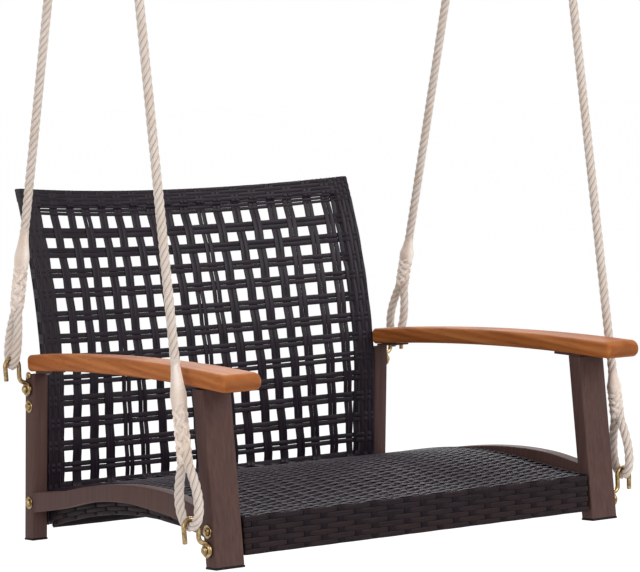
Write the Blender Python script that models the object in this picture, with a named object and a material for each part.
# Hanging porch swing for one: two steel side frames with arched wooden armrests,
# a woven seat, an open lattice back and four spliced cotton ropes on ceiling hooks.
# Metres, +Z up. The front faces -Y, and the viewer's right is +X.
# The origin is in the middle of the hanging points, on the underside of the ceiling.

import math

import bmesh
import bpy
from mathutils import Matrix, Vector

for old in list(bpy.data.objects):
    bpy.data.objects.remove(old, do_unlink=True)

touch_gap = 0.0003          # between pieces that touch
hole_margin = 0.001         # a hole's end beyond its bolt
hole_lead = 0.010           # a hole's cutter starts this far outside the frame

# Where the seat hangs: its own frame has its origin under the front feet, between them.
# The tilt brings its centre of mass straight under the place where the lines of the ropes meet.
hang_height = 1.05          # ceiling above the front feet
hang_back = 0.3081          # hanging points behind the front feet
seat_tilt = -0.1229         # radians about X: the rear hangs lower

# Side frames
frame_width = 0.680         # over the outer faces of the front legs
tube_wall = 0.0015
front_leg_width = 0.045
front_leg_depth = 0.024
front_leg_y = 0.0           # front face at the foot
front_leg_lean = 0.063      # backward, per metre of height
rear_leg_size = 0.024
rear_leg_inset = 0.026      # rear leg's outer face inside the front leg's
rear_leg_y = 0.512          # front face at the foot
rear_leg_lean = -0.0975
foot_flange = 0.003
foot_plug = 0.016
foot_lip = 0.0006

# Arched rail from leg to leg
rail_thickness = 0.020
rail_front_inset = 0.006    # its outer face inside the front leg's

# Armrests
arm_front_y = -0.055
arm_rear_y = 0.490
arm_crest_y = 0.33
arm_crest_z = 0.2455        # underside at the crest
arm_drop = 0.115            # how fast the underside falls away from the crest
arm_thickness = 0.0235
arm_front_inset = 0.0475     # inner edge inside the front legs' outer faces
arm_rear_inset = 0.0530
arm_front_width = 0.055
arm_rear_width = 0.035
arm_edge_radius = 0.005
arm_nose = 0.010
arm_nose_side = 0.4         # how much of the nose's rounding the sides take
arm_rear_trim = 0.004
arm_rear_share = 0.80
plate_thickness = 0.003
plate_inner_margin = 0.005
plate_outer_margin = 0.010
front_plate_span = (0.016, 0.070)
rear_plate_span = (0.436, 0.486)
screw_shift = 0.002         # front screw behind the middle of its room
screw_radius = 0.002
screw_head_radius = 0.004
screw_head = 0.0022
screw_bite = 0.014

# Seat
seat_side_gap = 0.0053      # to the front legs' inner faces
seat_half = frame_width / 2 - front_leg_width - seat_side_gap
seat_front_y = 0.002
seat_front_top = 0.066
seat_crest = 0.023
seat_rise = 0.006           # over the seat's depth, on top
seat_bottom_rise = 0.0022
seat_rise_run = 0.48
seat_front_bottom = 0.0165
seat_under_crest = 0.031
seat_wave = 0.50            # length of the arch, front to rear
seat_wave_start = 0.01
seat_wave_power = 1.4       # 2 is a full wave, 1 a plain arch
weave_thickness = 0.005
seat_tube = 0.020
seat_tube_height = 0.026    # of the front and rear tubes
seat_rear_tube_y = 0.462
seat_rear_gap = 0.0015

# Back
back_radius = 0.99          # of its curve, seen from above
back_reach = frame_width / 2 - rear_leg_inset - rear_leg_size - touch_gap
back_half = back_radius * math.asin(back_reach / back_radius)     # along the curve
back_bottom = 0.030
back_top = 0.503
back_dip = 0.010            # middle of the top edge below its corners
back_dip_start = 0.36       # height where the dip begins
back_thickness = 0.020
back_edge = 0.024           # width of the wrapped edge
back_tube_radius = 0.008
back_tube_wall = 0.0012
back_base_low = 0.043       # wrapped bar at the foot of the back
back_base_high = 0.067
net_thickness = 0.005
net_depth = 0.0045          # its front face behind the front of the edge
net_pitch_u = 0.0302
net_pitch_v = 0.0304
net_hole_u = 0.0200
net_hole_v = 0.0184
net_side_gap = 0.0227       # edge to the middle of the first column
net_foot_gap = 0.0207       # base bar to the middle of the lowest row
net_head_gap = 0.025        # least room over the middle of the top row
net_slit_step = 0.0248      # last full column to the middle of the narrow one
net_last_strip = 0.0049     # least width beside the narrow column
net_slit_width = 0.0075
net_slit_rows = (3, 10)     # rows with a narrow column, counted from the bottom

# Bolts
bolt_radius = 0.003
bolt_hole_radius = 0.0033
bolt_head_radius = 0.0055
bolt_head = 0.0040
washer_radius = 0.0088
washer = 0.0013
back_bolt_heights = {"lower": 0.054, "upper": 0.192}
short_bolt = 0.006          # into the leg's outer wall
bolt_end_gap = 0.002
seat_plug = 0.016           # threaded plug welded in each end of the front seat tube
bolt_sides = 8

# Rope hooks on the legs
rod_radius = 0.00325
hook_bend = 0.011           # of the arch, to the rod's middle
hook_reach = 0.0155         # fixed leg of the hook off the frame's face
hook_top_z = {"front": 0.0683, "rear": 0.2618}     # the rod's middle in the arch
hook_free = 0.0205          # straight part of the free leg
hook_splay = 0.001          # its end turned in
hook_curl = 0.0035          # inner bend into the eyelet
eyelet_bend = 0.0067
eyelet_z = {"front": 0.0255, "rear": 0.2170}
upper_bolt_above = {"front": 0.0235, "rear": 0.0195}
rod_sides = 8

# Ropes
rope_radius = 0.0065
eye_length = 0.105
lower_eye_half = 0.019
upper_eye_half = {"front": 0.019, "rear": 0.025}
upper_eye_gap = {"front": touch_gap, "rear": 0.0025}     # the rear ropes have play up there
eye_sweep = 2.36            # half of the eye's line, as a turn in radians
rope_step = 0.036
rope_sides = 8
splice_radius = 0.0120
splice_end = 0.235          # from the hook to where the rope is plain

# Ceiling fittings
ceiling_plate_size = (0.060, 0.232, 0.006)
ceiling_plate_outset = 0.0185        # middle outside the front legs' outer faces
hang_half_y = 0.0768        # front and rear hanging points from the middle
front_hang_outset = 0.028   # hanging points outside the front legs' outer faces
rear_hang_outset = 0.009
ceiling_rod_radius = 0.004
ceiling_bend = 0.012
ceiling_drop = 0.050        # ceiling to the rod's middle under the rope
ceiling_screw_radius = 0.0035
ceiling_screw_length = 0.045
ceiling_screw_dy = 0.106
ceiling_screw_tip = 0.007
ceiling_lead_in = 0.010     # straight part of the ceiling hook under its plate
ceiling_free_end = 0.012

sides = {"left": -1, "right": 1}


# Values along a smooth line through a few points
def smooth_value(points, at):
    if at <= points[0][0]:
        return points[0][1]
    for i in range(len(points) - 1):
        (x1, y1), (x2, y2) = points[i], points[i + 1]
        if at <= x2:
            before = points[max(i - 1, 0)]
            after = points[min(i + 2, len(points) - 1)]
            slope1 = (y2 - before[1]) / (x2 - before[0])
            slope2 = (after[1] - y1) / (after[0] - x1)
            t = (at - x1) / (x2 - x1)
            run = x2 - x1
            return ((2 * t**3 - 3 * t**2 + 1) * y1 + (t**3 - 2 * t**2 + t) * run * slope1
                    + (3 * t**2 - 2 * t**3) * y2 + (t**3 - t**2) * run * slope2)
    return points[-1][1]


def steps(start, end, count):
    return [start + (end - start) * i / count for i in range(count + 1)]


# Materials
def finish(name, colour, roughness, metallic):
    made = bpy.data.materials.new(name)
    made.use_nodes = True
    shader = made.node_tree.nodes["Principled BSDF"]
    shader.inputs["Base Color"].default_value = (*colour, 1.0)
    shader.inputs["Roughness"].default_value = roughness
    shader.inputs["Metallic"].default_value = metallic
    return made


finishes = {
    "frame": ((0.127, 0.085, 0.076), 0.45, 0.3),
    "rattan": ((0.020, 0.015, 0.020), 0.40, 0.0),
    "wood": ((0.500, 0.160, 0.045), 0.50, 0.0),
    "rope": ((0.750, 0.650, 0.560), 0.90, 0.0),
    "zinc": ((0.560, 0.420, 0.200), 0.30, 1.0),
    "steel": ((0.450, 0.450, 0.460), 0.35, 1.0),
    "plastic": ((0.015, 0.015, 0.015), 0.50, 0.0),
}


# Objects
def add_object(name, mesh, look, parent, place=Matrix.Identity(4)):
    colour, roughness, metallic = finishes[look]
    mesh.materials.clear()
    mesh.materials.append(finish(name, colour, roughness, metallic))
    made = bpy.data.objects.new(name, mesh)
    bpy.context.scene.collection.objects.link(made)
    made.parent = parent
    made.matrix_basis = place
    return made


def add_empty(name, matrix):
    made = bpy.data.objects.new(name, None)
    bpy.context.scene.collection.objects.link(made)
    made.matrix_basis = matrix
    return made


def add_tool(target, mesh, operation, parent, place=Matrix.Identity(4)):
    tool = bpy.data.objects.new(target.name + "_tool", mesh)
    bpy.context.scene.collection.objects.link(tool)
    tool.parent = parent
    tool.matrix_basis = place
    tool.hide_render = True
    tool.display_type = "WIRE"
    change = target.modifiers.new(operation.lower(), "BOOLEAN")
    change.operation = operation
    change.solver = "EXACT"
    change.object = tool


def mesh_of(bm, smooth_angle=35):
    bmesh.ops.recalc_face_normals(bm, faces=bm.faces)
    made = bpy.data.meshes.new("made")
    bm.to_mesh(made)
    bm.free()
    made.shade_smooth()
    made.set_sharp_from_angle(angle=math.radians(smooth_angle))
    return made


# Sections, counter-clockwise
def rectangle(width, height):
    return [(width / 2 * a, height / 2 * b) for a, b in ((-1, -1), (1, -1), (1, 1), (-1, 1))]


def circle(radius, count):
    turns = [2 * math.pi * (i + 0.5) / count for i in range(count)]
    return [(-radius * math.cos(t), -radius * math.sin(t)) for t in turns]


def rounded(width, height, radius, per_corner=3):
    made = []
    for quarter, (a, b) in enumerate(((-1, -1), (1, -1), (1, 1), (-1, 1))):
        for i in range(per_corner):
            turn = math.pi * (1 + quarter / 2) + math.pi / 2 * i / (per_corner - 1)
            made.append((a * (width / 2 - radius) + radius * math.cos(turn),
                         b * (height / 2 - radius) + radius * math.sin(turn)))
    return made


# A skin over rings of points, with an inner skin where the piece is a tube
def loft(outer, inner=None):
    bm = bmesh.new()

    def skin(rings):
        rows = [[bm.verts.new(p) for p in ring] for ring in rings]
        for low, high in zip(rows, rows[1:]):
            for i in range(len(low)):
                j = (i + 1) % len(low)
                bm.faces.new((low[i], low[j], high[j], high[i]))
        return rows

    rows = skin(outer)
    if inner is None:
        bm.faces.new(rows[0])
        bm.faces.new(rows[-1])
    else:
        bores = skin(inner)
        for end in (0, -1):
            ring, bore = rows[end], bores[end]
            for i in range(len(ring)):
                j = (i + 1) % len(ring)
                bm.faces.new((ring[i], ring[j], bore[j], bore[i]))
    return mesh_of(bm)


def box(low, high):
    bm = bmesh.new()
    bmesh.ops.create_cube(bm, size=1.0)
    for vert in bm.verts:
        vert.co = Vector([low[k] + (high[k] - low[k]) * (vert.co[k] + 0.5) for k in range(3)])
    return mesh_of(bm)


# A turned piece along X or another axis: (distance, radius) pairs
def turned(profile, place, direction, count=bolt_sides):
    along = Vector(direction).normalized()
    turn = Vector((0, 0, 1)).rotation_difference(along).to_matrix()
    rings = []
    for distance, radius in profile:
        rings.append([Vector(place) + turn @ Vector((x, y, distance)) for x, y in circle(radius, count)])
    return loft(rings)


# A round bar or rope along points, as a filled curve made into a mesh
def round_bar(points, radius, count, scales=None):
    curve = bpy.data.curves.new("bar", "CURVE")
    curve.dimensions = "3D"
    curve.bevel_depth = radius
    curve.bevel_resolution = count // 2 - 2
    curve.use_fill_caps = True
    spline = curve.splines.new("POLY")
    spline.points.add(len(points) - 1)
    for i, point in enumerate(points):
        spline.points[i].co = (*point, 1.0)
        spline.points[i].radius = scales[i] if scales else 1.0
    holder = bpy.data.objects.new("bar", curve)
    bpy.context.scene.collection.objects.link(holder)
    mesh = bpy.data.meshes.new_from_object(holder)
    bpy.data.objects.remove(holder, do_unlink=True)
    bm = bmesh.new()
    bm.from_mesh(mesh)
    bmesh.ops.remove_doubles(bm, verts=bm.verts, dist=0.00001)
    return mesh_of(bm)


# The seat's own frame and what hangs from what
seat_matrix = (Matrix.Translation((0, -hang_back, -hang_height)) @ Matrix.Rotation(seat_tilt, 4, "X"))
outer_x = {"front": frame_width / 2, "rear": frame_width / 2 - rear_leg_inset}


def leg_front(which, z):
    if which == "front":
        return front_leg_y + front_leg_lean * z
    return rear_leg_y + rear_leg_lean * z


leg_size = {"front": (front_leg_width, front_leg_depth), "rear": (rear_leg_size, rear_leg_size)}


def leg_middle(which, z):
    return leg_front(which, z) + leg_size[which][1] / 2


def arch_point(which, side):
    x = outer_x[which] + hook_reach + hook_bend
    return Vector((side * x, leg_middle(which, eyelet_z[which]), hook_top_z[which]))


def hang_point(which, side):
    outset, y = (front_hang_outset, -hang_half_y) if which == "front" else (rear_hang_outset, hang_half_y)
    return Vector((side * (frame_width / 2 + outset), y, -ceiling_drop))


front_axis = arch_point("front", 0)
seat_pivot = add_empty("seat_pivot", seat_matrix @ Matrix.Translation(front_axis))
in_seat = Matrix.Translation(-front_axis)

# The front ropes turn on the ceiling's hooks, and the rear ropes on the seat's
rope_axis = {"front": hang_point("front", 0), "rear": seat_matrix @ arch_point("rear", 0)}
ropes_pivot = {which: add_empty(which + "_ropes_pivot", Matrix.Translation(at))
               for which, at in rope_axis.items()}


def add_seat_piece(name, mesh, look):
    return add_object(name, mesh, look, seat_pivot, in_seat)


def cut(target, mesh):
    add_tool(target, mesh, "DIFFERENCE", seat_pivot, in_seat)


# Armrest lines
def arm_underside(y):
    return arm_crest_z - arm_drop * (y - arm_crest_y) ** 2


def arm_share(y):
    return (y - arm_front_y) / (arm_rear_y - arm_front_y)


def arm_inner(y):
    return frame_width / 2 - arm_front_inset - (arm_rear_inset - arm_front_inset) * arm_share(y)


def arm_width(y):
    return arm_front_width + (arm_rear_width - arm_front_width) * arm_share(y)


def plate_underside(y):
    return arm_underside(y) - touch_gap - plate_thickness


# Legs: hollow, cut to the slope of the plate on top
def leg_ring(which, side, z_of, wall):
    width, depth = leg_size[which]
    x_out = outer_x[which] - wall
    x_in = outer_x[which] - width + wall
    ring = []
    for x, back in ((x_in, wall), (x_out, wall), (x_out, depth - wall), (x_in, depth - wall)):
        z = z_of(leg_front(which, arm_crest_z) + back)
        ring.append(Vector((side * x, leg_front(which, z) + back, z)))
    return ring


def add_leg(which, word):
    side = sides[word]
    foot_z = foot_flange + touch_gap

    def top(y):
        return plate_underside(y) - touch_gap

    rings = [[leg_ring(which, side, z_of, wall) for z_of in (lambda y: foot_z, top)]
             for wall in (0.0, tube_wall)]
    leg = add_seat_piece(which + "_leg_" + word, loft(*rings), "frame")
    for level in ("lower", "upper"):
        y, z = hook_bolt_place(which, level)
        cut(leg, side_hole(side, y, z, outer_x[which] - hook_bolt_depth(which, level) - hole_margin))
    if which == "rear":
        for level in back_bolt_heights:
            y, z = back_bolt_place(level)
            cut(leg, side_hole(side, y, z, outer_x["rear"] - rear_leg_size - hole_margin))


# Holes for the bolts, from outside the frame inwards
def side_hole(side, y, z, x_inner):
    start = frame_width / 2 + hole_lead
    profile = [(0, bolt_hole_radius), (start - x_inner, bolt_hole_radius)]
    return turned(profile, (side * start, y, z), (-side, 0, 0))


def hook_bolt_place(which, level):
    z = eyelet_z[which] + (upper_bolt_above[which] if level == "upper" else 0)
    return leg_middle(which, z), z


# The upper front bolt runs through the leg into the seat's front tube, the others end in the leg
def hook_bolt_depth(which, level):
    if (which, level) == ("front", "upper"):
        return outer_x["front"] - (seat_half - weave_thickness - touch_gap) + seat_plug - bolt_end_gap
    return short_bolt


def back_bolt_place(level):
    z = back_bolt_heights[level]
    return back_point(back_half - back_edge / 2, z, back_thickness / 2).y, z


def add_foot(which, word):
    side = sides[word]
    width, depth = leg_size[which]
    x_mid = side * (outer_x[which] - width / 2)
    rings = []
    plug_inset = tube_wall + touch_gap
    outline = ((0, foot_lip), (foot_flange, foot_lip), (foot_flange, -plug_inset), (foot_plug, -plug_inset))
    for z, grow in outline:
        y_mid = leg_middle(which, z)
        section = rectangle(width + 2 * grow, depth + 2 * grow)
        rings.append([Vector((x_mid + a, y_mid + b, z)) for a, b in section])
    add_seat_piece("foot_cap_" + which + "_" + word, loft(rings), "plastic")


# Arched side rail between the legs
rail_top_line = ((0.030, 0.0740), (0.12, 0.0912), (0.22, 0.0958), (0.33, 0.0888), (0.43, 0.0750),
                 (0.51, 0.0690))
rail_bottom_line = ((0.030, 0.0375), (0.10, 0.0573), (0.17, 0.0657), (0.24, 0.0706), (0.33, 0.0665),
                    (0.43, 0.0502), (0.51, 0.0400))


def rail_outer(y):
    y0, y1 = rail_top_line[0][0], rail_top_line[-1][0]
    share = (y - y0) / (y1 - y0)
    front = outer_x["front"] - rail_front_inset
    return front + (outer_x["rear"] - front) * share


def add_rail(word):
    side = sides[word]
    rings, bores = [], []
    count = 12
    for i in range(count + 1):
        share = i / count
        for wall, rows in ((0.0, rings), (tube_wall, bores)):
            ring = []
            for up, out in ((0, 0), (0, 1), (1, 1), (1, 0)):
                line = rail_top_line if up else rail_bottom_line
                z = line[0][1]
                for _ in range(4):
                    y0 = leg_front("front", z) + front_leg_depth + touch_gap
                    y1 = leg_front("rear", z) - touch_gap
                    y = y0 + (y1 - y0) * share
                    z = smooth_value(line, y) + (-wall if up else wall)
                x = rail_outer(y) - (wall if out else rail_thickness - wall)
                ring.append(Vector((side * x, y, z)))
            rows.append(ring)
    add_seat_piece("arch_rail_" + word, loft(rings, bores), "frame")


# Plates on the leg tops and the armrest over them
plate_spans = {"front": front_plate_span, "rear": rear_plate_span}


def arm_screw_place(which, side):
    y0, y1 = plate_spans[which]
    leg_face = leg_front(which, arm_crest_z)
    if which == "front":
        y = (leg_face + front_leg_depth + y1) / 2 + screw_shift
    else:
        y = (y0 + leg_face) / 2
    return side * (arm_inner(y) + arm_width(y) / 2), y


def add_arm(word):
    side = sides[word]
    turns = steps(0.45, math.pi / 2, 3)
    stations = [(arm_front_y + arm_nose * (1 - math.cos(t)), math.sin(t)) for t in turns]
    stations += [(y, 1.0) for y in steps(arm_front_y + arm_nose, arm_rear_y - arm_rear_trim, 9)[1:]]
    stations += [(arm_rear_y, arm_rear_share)]
    rings = []
    for y, share in stations:
        trim = (1 - share) * arm_nose
        width = arm_width(y) - 2 * trim * arm_nose_side
        height = arm_thickness - 2 * trim
        section = rounded(width, height, min(arm_edge_radius, height * 0.45))
        x_mid = arm_inner(y) + arm_width(y) / 2
        z_mid = arm_underside(y) + arm_thickness / 2
        rings.append([Vector((side * (x_mid + a), y, z_mid + b)) for a, b in section])
    arm = add_seat_piece("armrest_" + word, loft(rings), "wood")
    for which in ("front", "rear"):
        rows = []
        for y in steps(*plate_spans[which], 4):
            near = arm_inner(y) + plate_inner_margin
            far = arm_inner(y) + arm_width(y) - plate_outer_margin
            low, high = plate_underside(y), arm_underside(y) - touch_gap
            corners = ((near, low), (far, low), (far, high), (near, high))
            rows.append([Vector((side * x, y, z)) for x, z in corners])
        plate = add_seat_piece("arm_plate_" + which + "_" + word, loft(rows), "frame")
        x, y = arm_screw_place(which, side)
        low = plate_underside(y)
        hole_radius = screw_radius + touch_gap
        hole = [(-hole_lead, hole_radius), (plate_thickness + screw_bite + touch_gap, hole_radius)]
        for piece in (plate, arm):
            cut(piece, turned(hole, (x, y, low), (0, 0, 1)))
        screw = turned([(0, screw_head_radius * 0.75), (screw_head * 0.5, screw_head_radius),
                        (screw_head, screw_head_radius), (screw_head, screw_radius),
                        (screw_head + plate_thickness + screw_bite, screw_radius)],
                       (x, y, low - 2 * touch_gap - screw_head), (0, 0, 1))
        add_seat_piece("arm_screw_" + which + "_" + word, screw, "steel")


# Seat: an arched tray of weave over five tubes
def seat_shape(y):
    return math.sin(math.pi * min(max((y - seat_wave_start) / seat_wave, 0), 1)) ** seat_wave_power


def seat_top(y):
    return seat_front_top + seat_crest * seat_shape(y) + seat_rise * y / seat_rise_run


def seat_bottom(y):
    return seat_front_bottom + seat_under_crest * seat_shape(y) + seat_bottom_rise * y / seat_rise_run


back_line = ((0.020, 0.5090), (0.080, 0.5000), (0.150, 0.4950), (0.235, 0.4905), (0.330, 0.4995),
             (0.420, 0.5175), (0.505, 0.5435))
back_depth = back_radius * (1 - math.cos(back_half / back_radius))


# The back's curve: u along it, v up, w from its front face to the rear
def back_point(u, v, w):
    turn = u / back_radius
    middle = smooth_value(back_line, v) + back_depth - back_radius
    rise = min(max((v - back_dip_start) / (back_top - back_dip_start), 0), 1)
    dip = back_dip * rise**2 * (1 - (u / back_half) ** 2)
    y = middle + back_radius * math.cos(turn) + w
    return Vector((back_radius * math.sin(turn), y, v - dip))


def back_face(x, z):
    return back_point(back_radius * math.asin(x / back_radius), z, 0).y


def tray_block(inset, floor, lid):
    bm = bmesh.new()
    across, along = 10, 16
    half = seat_half - inset

    def spot(i, j, up):
        x = -half + 2 * half * i / across
        share = j / along
        z = seat_front_top
        for _ in range(3):
            front = seat_front_y + inset
            rear = back_face(x, z) - seat_rear_gap - inset
            y = front + (rear - front) * share
            z = lid(y) if up else floor(y)
        return bm.verts.new((x, y, z))

    layers = [[[spot(i, j, up) for j in range(along + 1)] for i in range(across + 1)] for up in (0, 1)]
    for layer in layers:
        for i in range(across):
            for j in range(along):
                bm.faces.new((layer[i][j], layer[i + 1][j], layer[i + 1][j + 1], layer[i][j + 1]))
    low, high = layers
    rim = ([(i, 0) for i in range(across)] + [(across, j) for j in range(along)]
           + [(i, along) for i in range(across, 0, -1)] + [(0, j) for j in range(along, 0, -1)])
    for (i, j), (k, m) in zip(rim, rim[1:] + rim[:1]):
        bm.faces.new((low[i][j], low[k][m], high[k][m], high[i][j]))
    return mesh_of(bm)


def add_seat():
    weave = add_seat_piece("seat_weave", tray_block(0.0, seat_bottom, seat_top), "rattan")
    cut(weave, tray_block(weave_thickness, lambda y: seat_bottom(y) - hole_lead,
                          lambda y: seat_top(y) - weave_thickness))
    inside = seat_half - weave_thickness - touch_gap
    y_bolt, z_bolt = hook_bolt_place("front", "upper")

    # Front tube behind the front skirt, with a threaded plug welded in each end
    y0 = seat_front_y + weave_thickness + touch_gap
    y1 = y0 + seat_tube
    high = seat_top(y0) - weave_thickness - touch_gap
    low = high - seat_tube_height
    front = add_seat_piece("seat_front_tube", box((-inside, y0, low), (inside, y1, high)), "steel")
    hollow = inside - seat_plug
    cut(front, box((-hollow, y0 + tube_wall, low + tube_wall), (hollow, y1 - tube_wall, high - tube_wall)))
    for side in sides.values():
        cut(weave, side_hole(side, y_bolt, z_bolt, inside - hole_margin))
        cut(front, side_hole(side, y_bolt, z_bolt, hollow - hole_margin))

    # Rear tube, just in front of the back
    rear0, rear1 = seat_rear_tube_y, seat_rear_tube_y + seat_tube
    rear_high = min(seat_top(rear0), seat_top(rear1)) - weave_thickness - touch_gap
    rear_low = rear_high - seat_tube_height
    add_seat_piece("seat_rear_tube", square_tube(inside, rear0, rear1, rear_low, rear_high), "steel")

    # Arched tubes under the weave, from tube to tube
    places = {"seat_side_tube_left": -inside + seat_tube / 2, "seat_centre_tube": 0.0,
              "seat_side_tube_right": inside - seat_tube / 2}
    for name, x_mid in places.items():
        rings, bores = [], []
        for y in steps(y1 + touch_gap, rear0 - touch_gap, 12):
            top_z = seat_top(y) - weave_thickness - touch_gap
            z_mid = top_z - seat_tube / 2
            rings.append([Vector((x_mid + a, y, z_mid + b)) for a, b in rectangle(seat_tube, seat_tube)])
            bore = seat_tube - 2 * tube_wall
            bores.append([Vector((x_mid + a, y, z_mid + b)) for a, b in rectangle(bore, bore)])
        add_seat_piece(name, loft(rings, bores), "steel")


def square_tube(half, y0, y1, z0, z1):
    rings, bores = [], []
    for x in (-half, half):
        for wall, rows in ((0.0, rings), (tube_wall, bores)):
            rows.append([Vector((x, y, z)) for y, z in ((y0 + wall, z0 + wall), (y1 - wall, z0 + wall),
                                                        (y1 - wall, z1 - wall), (y0 + wall, z1 - wall))])
    return loft(rings, bores)


# Back: a bent tube with a wrapped edge, a base bar and the open lattice
def back_path(offset):
    edge, top = back_half - offset, back_top - offset
    left = [(-edge, v, 1, 0) for v in steps(back_bottom, top, 7)[:-1]] + [(-edge, top, 1, -1)]
    over = [(u, top, 0, -1) for u in steps(-edge, edge, 8)[1:-1]]
    right = [(-u, v, -inward, down) for u, v, inward, down in reversed(left)]
    return left + over + right


def back_rings(path, section):
    rings = []
    for u, v, inward_u, inward_v in path:
        rings.append([back_point(u + a * inward_u, v + a * inward_v, back_thickness / 2 + b)
                      for a, b in section])
    return rings


def add_back():
    path = back_path(back_edge / 2)
    bar = [circle(radius, 8) for radius in (back_tube_radius, back_tube_radius - back_tube_wall)]
    bore = circle(back_tube_radius + touch_gap, 8)
    tube = add_seat_piece("back_frame_tube", loft(*[back_rings(path, ring) for ring in bar]), "steel")
    wrap = add_seat_piece("back_edge_wrap",
                          loft(back_rings(path, rounded(back_edge, back_thickness, weave_thickness, 2)),
                               back_rings(path, bore)), "rattan")
    for side in sides.values():
        for level in back_bolt_heights:
            y, z = back_bolt_place(level)
            for piece in (tube, wrap):
                cut(piece, side_hole(side, y, z, back_bolt_end - hole_margin))

    # Base bar between the posts
    inner = back_half - back_edge - touch_gap
    base_v = (back_base_low + back_base_high) / 2
    base = [(u, base_v, 0, 1) for u in steps(-inner, inner, 8)]
    add_seat_piece("back_bottom_tube", loft(*[back_rings(base, ring) for ring in bar]), "steel")
    section = rounded(back_base_high - back_base_low, back_thickness, weave_thickness, 2)
    add_seat_piece("back_bottom_wrap", loft(back_rings(base, section), back_rings(base, bore)), "rattan")
    add_lattice(inner)


def add_lattice(inner):
    low = back_base_high + touch_gap
    high = back_top - back_edge - touch_gap
    first_u, first_v = net_side_gap - inner, low + net_foot_gap
    last_u = inner - net_slit_step - net_slit_width / 2 - net_last_strip
    u_lines, v_lines = [-inner], [low]
    for i in range(int((last_u - first_u) / net_pitch_u) + 1):
        middle = first_u + net_pitch_u * i
        u_lines += [middle - net_hole_u / 2, middle + net_hole_u / 2]
    slit_u = middle + net_slit_step
    u_lines += [slit_u - net_slit_width / 2, slit_u + net_slit_width / 2, inner]
    for i in range(int((high - net_head_gap - first_v) / net_pitch_v) + 1):
        middle = first_v + net_pitch_v * i
        v_lines += [middle - net_hole_v / 2, middle + net_hole_v / 2]
    v_lines.append(high)
    bm = bmesh.new()
    columns, rows = len(u_lines) - 1, len(v_lines) - 1
    layers = [[[bm.verts.new(back_point(u, v, w)) for v in v_lines] for u in u_lines]
              for w in (net_depth, net_depth + net_thickness)]

    def solid(i, j):
        if not (0 <= i < columns and 0 <= j < rows):
            return False
        hole = i % 2 == 1 and j % 2 == 1
        slit = i == columns - 2
        return not hole or (slit and not net_slit_rows[0] <= j // 2 <= net_slit_rows[1])

    for i in range(columns):
        for j in range(rows):
            if not solid(i, j):
                continue
            corners = ((i, j), (i + 1, j), (i + 1, j + 1), (i, j + 1))
            for layer in layers:
                bm.faces.new([layer[a][b] for a, b in corners])
            for edge, (di, dj) in enumerate(((0, -1), (1, 0), (0, 1), (-1, 0))):
                if not solid(i + di, j + dj):
                    (a, b), (c, d) = corners[edge], corners[(edge + 1) % 4]
                    bm.faces.new((layers[0][a][b], layers[0][c][d], layers[1][c][d], layers[1][a][b]))
    for vert in [v for v in bm.verts if not v.link_faces]:
        bm.verts.remove(vert)
    add_seat_piece("back_lattice", mesh_of(bm, 20), "rattan")


# Bolts
def bolt(start, direction, length, flange=0.0):
    head = [(-flange - bolt_head, bolt_head_radius * 0.8), (-flange - bolt_head * 0.6, bolt_head_radius)]
    if flange:
        head += [(-flange, bolt_head_radius), (-flange, washer_radius), (0, washer_radius)]
    else:
        head.append((0, bolt_head_radius))
    return turned(head + [(0, bolt_radius), (length, bolt_radius)], start, direction)


back_bolt_end = back_radius * math.sin((back_half - back_edge / 2) / back_radius) - bolt_end_gap


def add_back_bolts(word):
    side = sides[word]
    face = outer_x["rear"] + touch_gap
    for level in back_bolt_heights:
        y, z = back_bolt_place(level)
        add_seat_piece("back_bolt_" + level + "_" + word,
                       bolt((side * face, y, z), (-side, 0, 0), face - back_bolt_end, washer), "zinc")


# Rope hooks: an inverted U of round bar whose inner leg curls into an eyelet on the leg
def hook_points(which, side):
    y = leg_middle(which, eyelet_z[which])
    peak = hook_top_z[which] - hook_bend
    flat = outer_x[which] + touch_gap + rod_radius
    fixed = outer_x[which] + hook_reach
    middle = fixed + hook_bend
    points = [(middle + hook_bend - hook_splay, peak - hook_free),
              (middle + hook_bend, peak - hook_free * 0.5)]
    points += [(middle + hook_bend * math.cos(t), peak + hook_bend * math.sin(t))
               for t in steps(0, math.pi, 8)]
    wide = fixed - flat - hook_curl
    low = eyelet_z[which] + eyelet_bend + hook_curl
    points += [(fixed - wide + wide * math.cos(t), low + wide - wide * math.sin(t))
               for t in steps(0, math.pi / 2, 4)]
    points += [(flat + hook_curl - hook_curl * math.sin(t), low - hook_curl + hook_curl * math.cos(t))
               for t in steps(math.pi / 6, math.pi / 2, 2)]
    return [Vector((side * x, y, z)) for x, z in points]


def eyelet_mesh(which, side):
    face = outer_x[which] + touch_gap
    y, z = leg_middle(which, eyelet_z[which]), eyelet_z[which]
    bm = bmesh.new()
    rows = []
    around = 14
    for i in range(around):
        turn = 2 * math.pi * i / around
        row = []
        for a, b in circle(rod_radius, rod_sides):
            reach = eyelet_bend + a
            row.append(bm.verts.new((side * (face + rod_radius + b), y + reach * math.sin(turn),
                                     z + reach * math.cos(turn))))
        rows.append(row)
    for i in range(around):
        low, high = rows[i], rows[(i + 1) % around]
        for j in range(rod_sides):
            k = (j + 1) % rod_sides
            bm.faces.new((low[j], low[k], high[k], high[j]))
    return mesh_of(bm)


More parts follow.
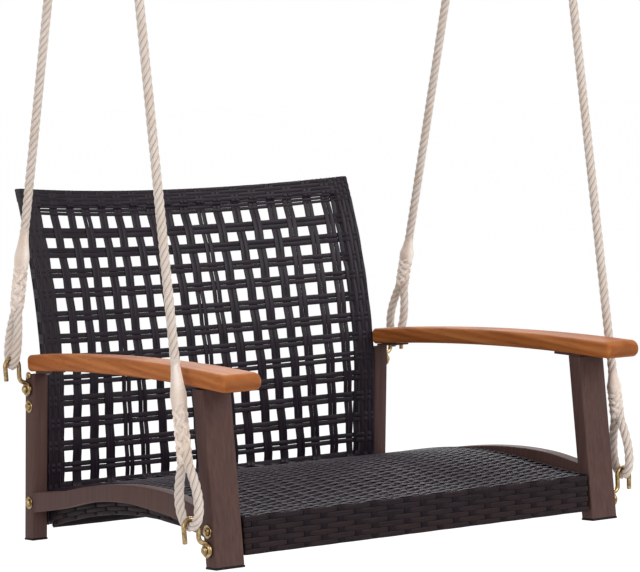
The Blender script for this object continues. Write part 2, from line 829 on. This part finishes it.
def add_hook(which, word):
    side = sides[word]
    hook = add_seat_piece("rope_hook_" + which + "_" + word,
                          round_bar(hook_points(which, side), rod_radius, rod_sides), "zinc")
    add_tool(hook, eyelet_mesh(which, side), "UNION", seat_pivot, in_seat)
    for level in ("lower", "upper"):
        y, z = hook_bolt_place(which, level)
        under_head = outer_x[which] + touch_gap
        if level == "lower":
            under_head += 2 * rod_radius + touch_gap
        elif which == "front":
            disc = [[[Vector((side * (under_head + d), y + a, z + b)) for a, b in circle(radius, 12)]
                     for d in (0, washer)] for radius in (washer_radius, bolt_hole_radius)]
            add_seat_piece("hook_washer_" + word, loft(*disc), "zinc")
            under_head += washer + touch_gap
        length = under_head - outer_x[which] + hook_bolt_depth(which, level)
        add_seat_piece("hook_bolt_" + which + "_" + level + "_" + word,
                       bolt((side * under_head, y, z), (-side, 0, 0), length), "zinc")


# Ropes: a plain tube with an eye and a thick splice at each end
def eye_points(bight, half_width, direction):
    def reach(half):
        return math.sin(half) * math.cos(half) ** 2

    widest = reach(math.atan(math.sqrt(0.5)))
    return [(half_width * reach(turn / 2) / widest,
             direction * (eye_length / 2 * (1 - math.cos(turn)) - bight))
            for turn in steps(-eye_sweep, eye_sweep, 14)]


# Distance from the hook and share of the splice's thickness
splice_line = ((0.068, 0.35), (0.076, 0.80), (0.086, 1.0), (0.160, 0.95), (0.200, 0.72),
               (splice_end, rope_radius / splice_radius))


def add_rope(which, word):
    side = sides[word]
    low = seat_matrix @ arch_point(which, side)
    high = hang_point(which, side)
    up = (high - low).normalized()
    across = up.cross(Vector((1, 0, 0))).normalized()
    turned_up = Matrix((across.cross(up), across, up)).transposed().to_4x4()
    place = Matrix.Translation(high - rope_axis[which]) @ turned_up
    length = (high - low).length
    plain = steps(splice_end, length - splice_end, round((length - 2 * splice_end) / rope_step))[1:-1]
    stations = list(splice_line) + [(along, rope_radius / splice_radius) for along in plain]
    stations += [(length - along, share) for along, share in reversed(splice_line)]
    body = round_bar([Vector((0, 0, along - length)) for along, _ in stations], splice_radius, rope_sides,
                     [share for _, share in stations])
    rope = add_object("rope_" + which + "_" + word, body, "rope", ropes_pivot[which], place)
    lower = (-length, rod_radius + rope_radius + touch_gap, lower_eye_half, 1)
    upper = (0.0, ceiling_rod_radius + rope_radius + upper_eye_gap[which], upper_eye_half[which], -1)
    for base, bight, half_width, direction in (lower, upper):
        loop = [Vector((0, a, base + b)) for a, b in eye_points(bight, half_width, direction)]
        add_tool(rope, round_bar(loop, rope_radius, rope_sides), "UNION", ropes_pivot[which], place)


# Ceiling hangers: a plate with two welded open hooks, on two screws
def add_ceiling(word):
    side = sides[word]
    width, length, thick = ceiling_plate_size
    x = side * (frame_width / 2 + ceiling_plate_outset)
    plate = box((x - width / 2, -length / 2, -thick), (x + width / 2, length / 2, 0))
    hanger = add_object("ceiling_hanger_" + word, plate, "zinc", None)
    for which in ("front", "rear"):
        middle = hang_point(which, side)
        bend = middle.z + ceiling_bend
        points = [(-ceiling_bend, -thick / 2), (-ceiling_bend, bend + ceiling_lead_in)]
        points += [(-ceiling_bend * math.cos(t), bend - ceiling_bend * math.sin(t))
                   for t in steps(0, math.pi, 8)]
        points.append((ceiling_bend, bend + ceiling_free_end))
        path = [Vector((middle.x + side * a, middle.y, b)) for a, b in points]
        add_tool(hanger, round_bar(path, ceiling_rod_radius, rod_sides), "UNION", None)
        spot = Vector((x, ceiling_screw_dy if which == "rear" else -ceiling_screw_dy, -thick))
        hole_radius = ceiling_screw_radius + touch_gap
        hole = [(-hole_lead, hole_radius), (thick + hole_lead, hole_radius)]
        add_tool(hanger, turned(hole, spot, (0, 0, 1)), "DIFFERENCE", None)
        head = 2 * screw_head
        reach = head + thick + ceiling_screw_length
        screw = turned([(0, 1.4 * screw_head_radius), (head * 0.5, 1.8 * screw_head_radius),
                        (head, 1.8 * screw_head_radius), (head, ceiling_screw_radius),
                        (reach, ceiling_screw_radius),
                        (reach + ceiling_screw_tip, ceiling_screw_radius * 0.2)],
                       spot - Vector((0, 0, touch_gap + head)), (0, 0, 1))
        add_object("ceiling_screw_" + which + "_" + word, screw, "steel", None)


for word in sides:
    for which in ("front", "rear"):
        add_leg(which, word)
        add_foot(which, word)
        add_hook(which, word)
        add_rope(which, word)
    add_rail(word)
    add_arm(word)
    add_back_bolts(word)
    add_ceiling(word)
add_seat()
add_back()
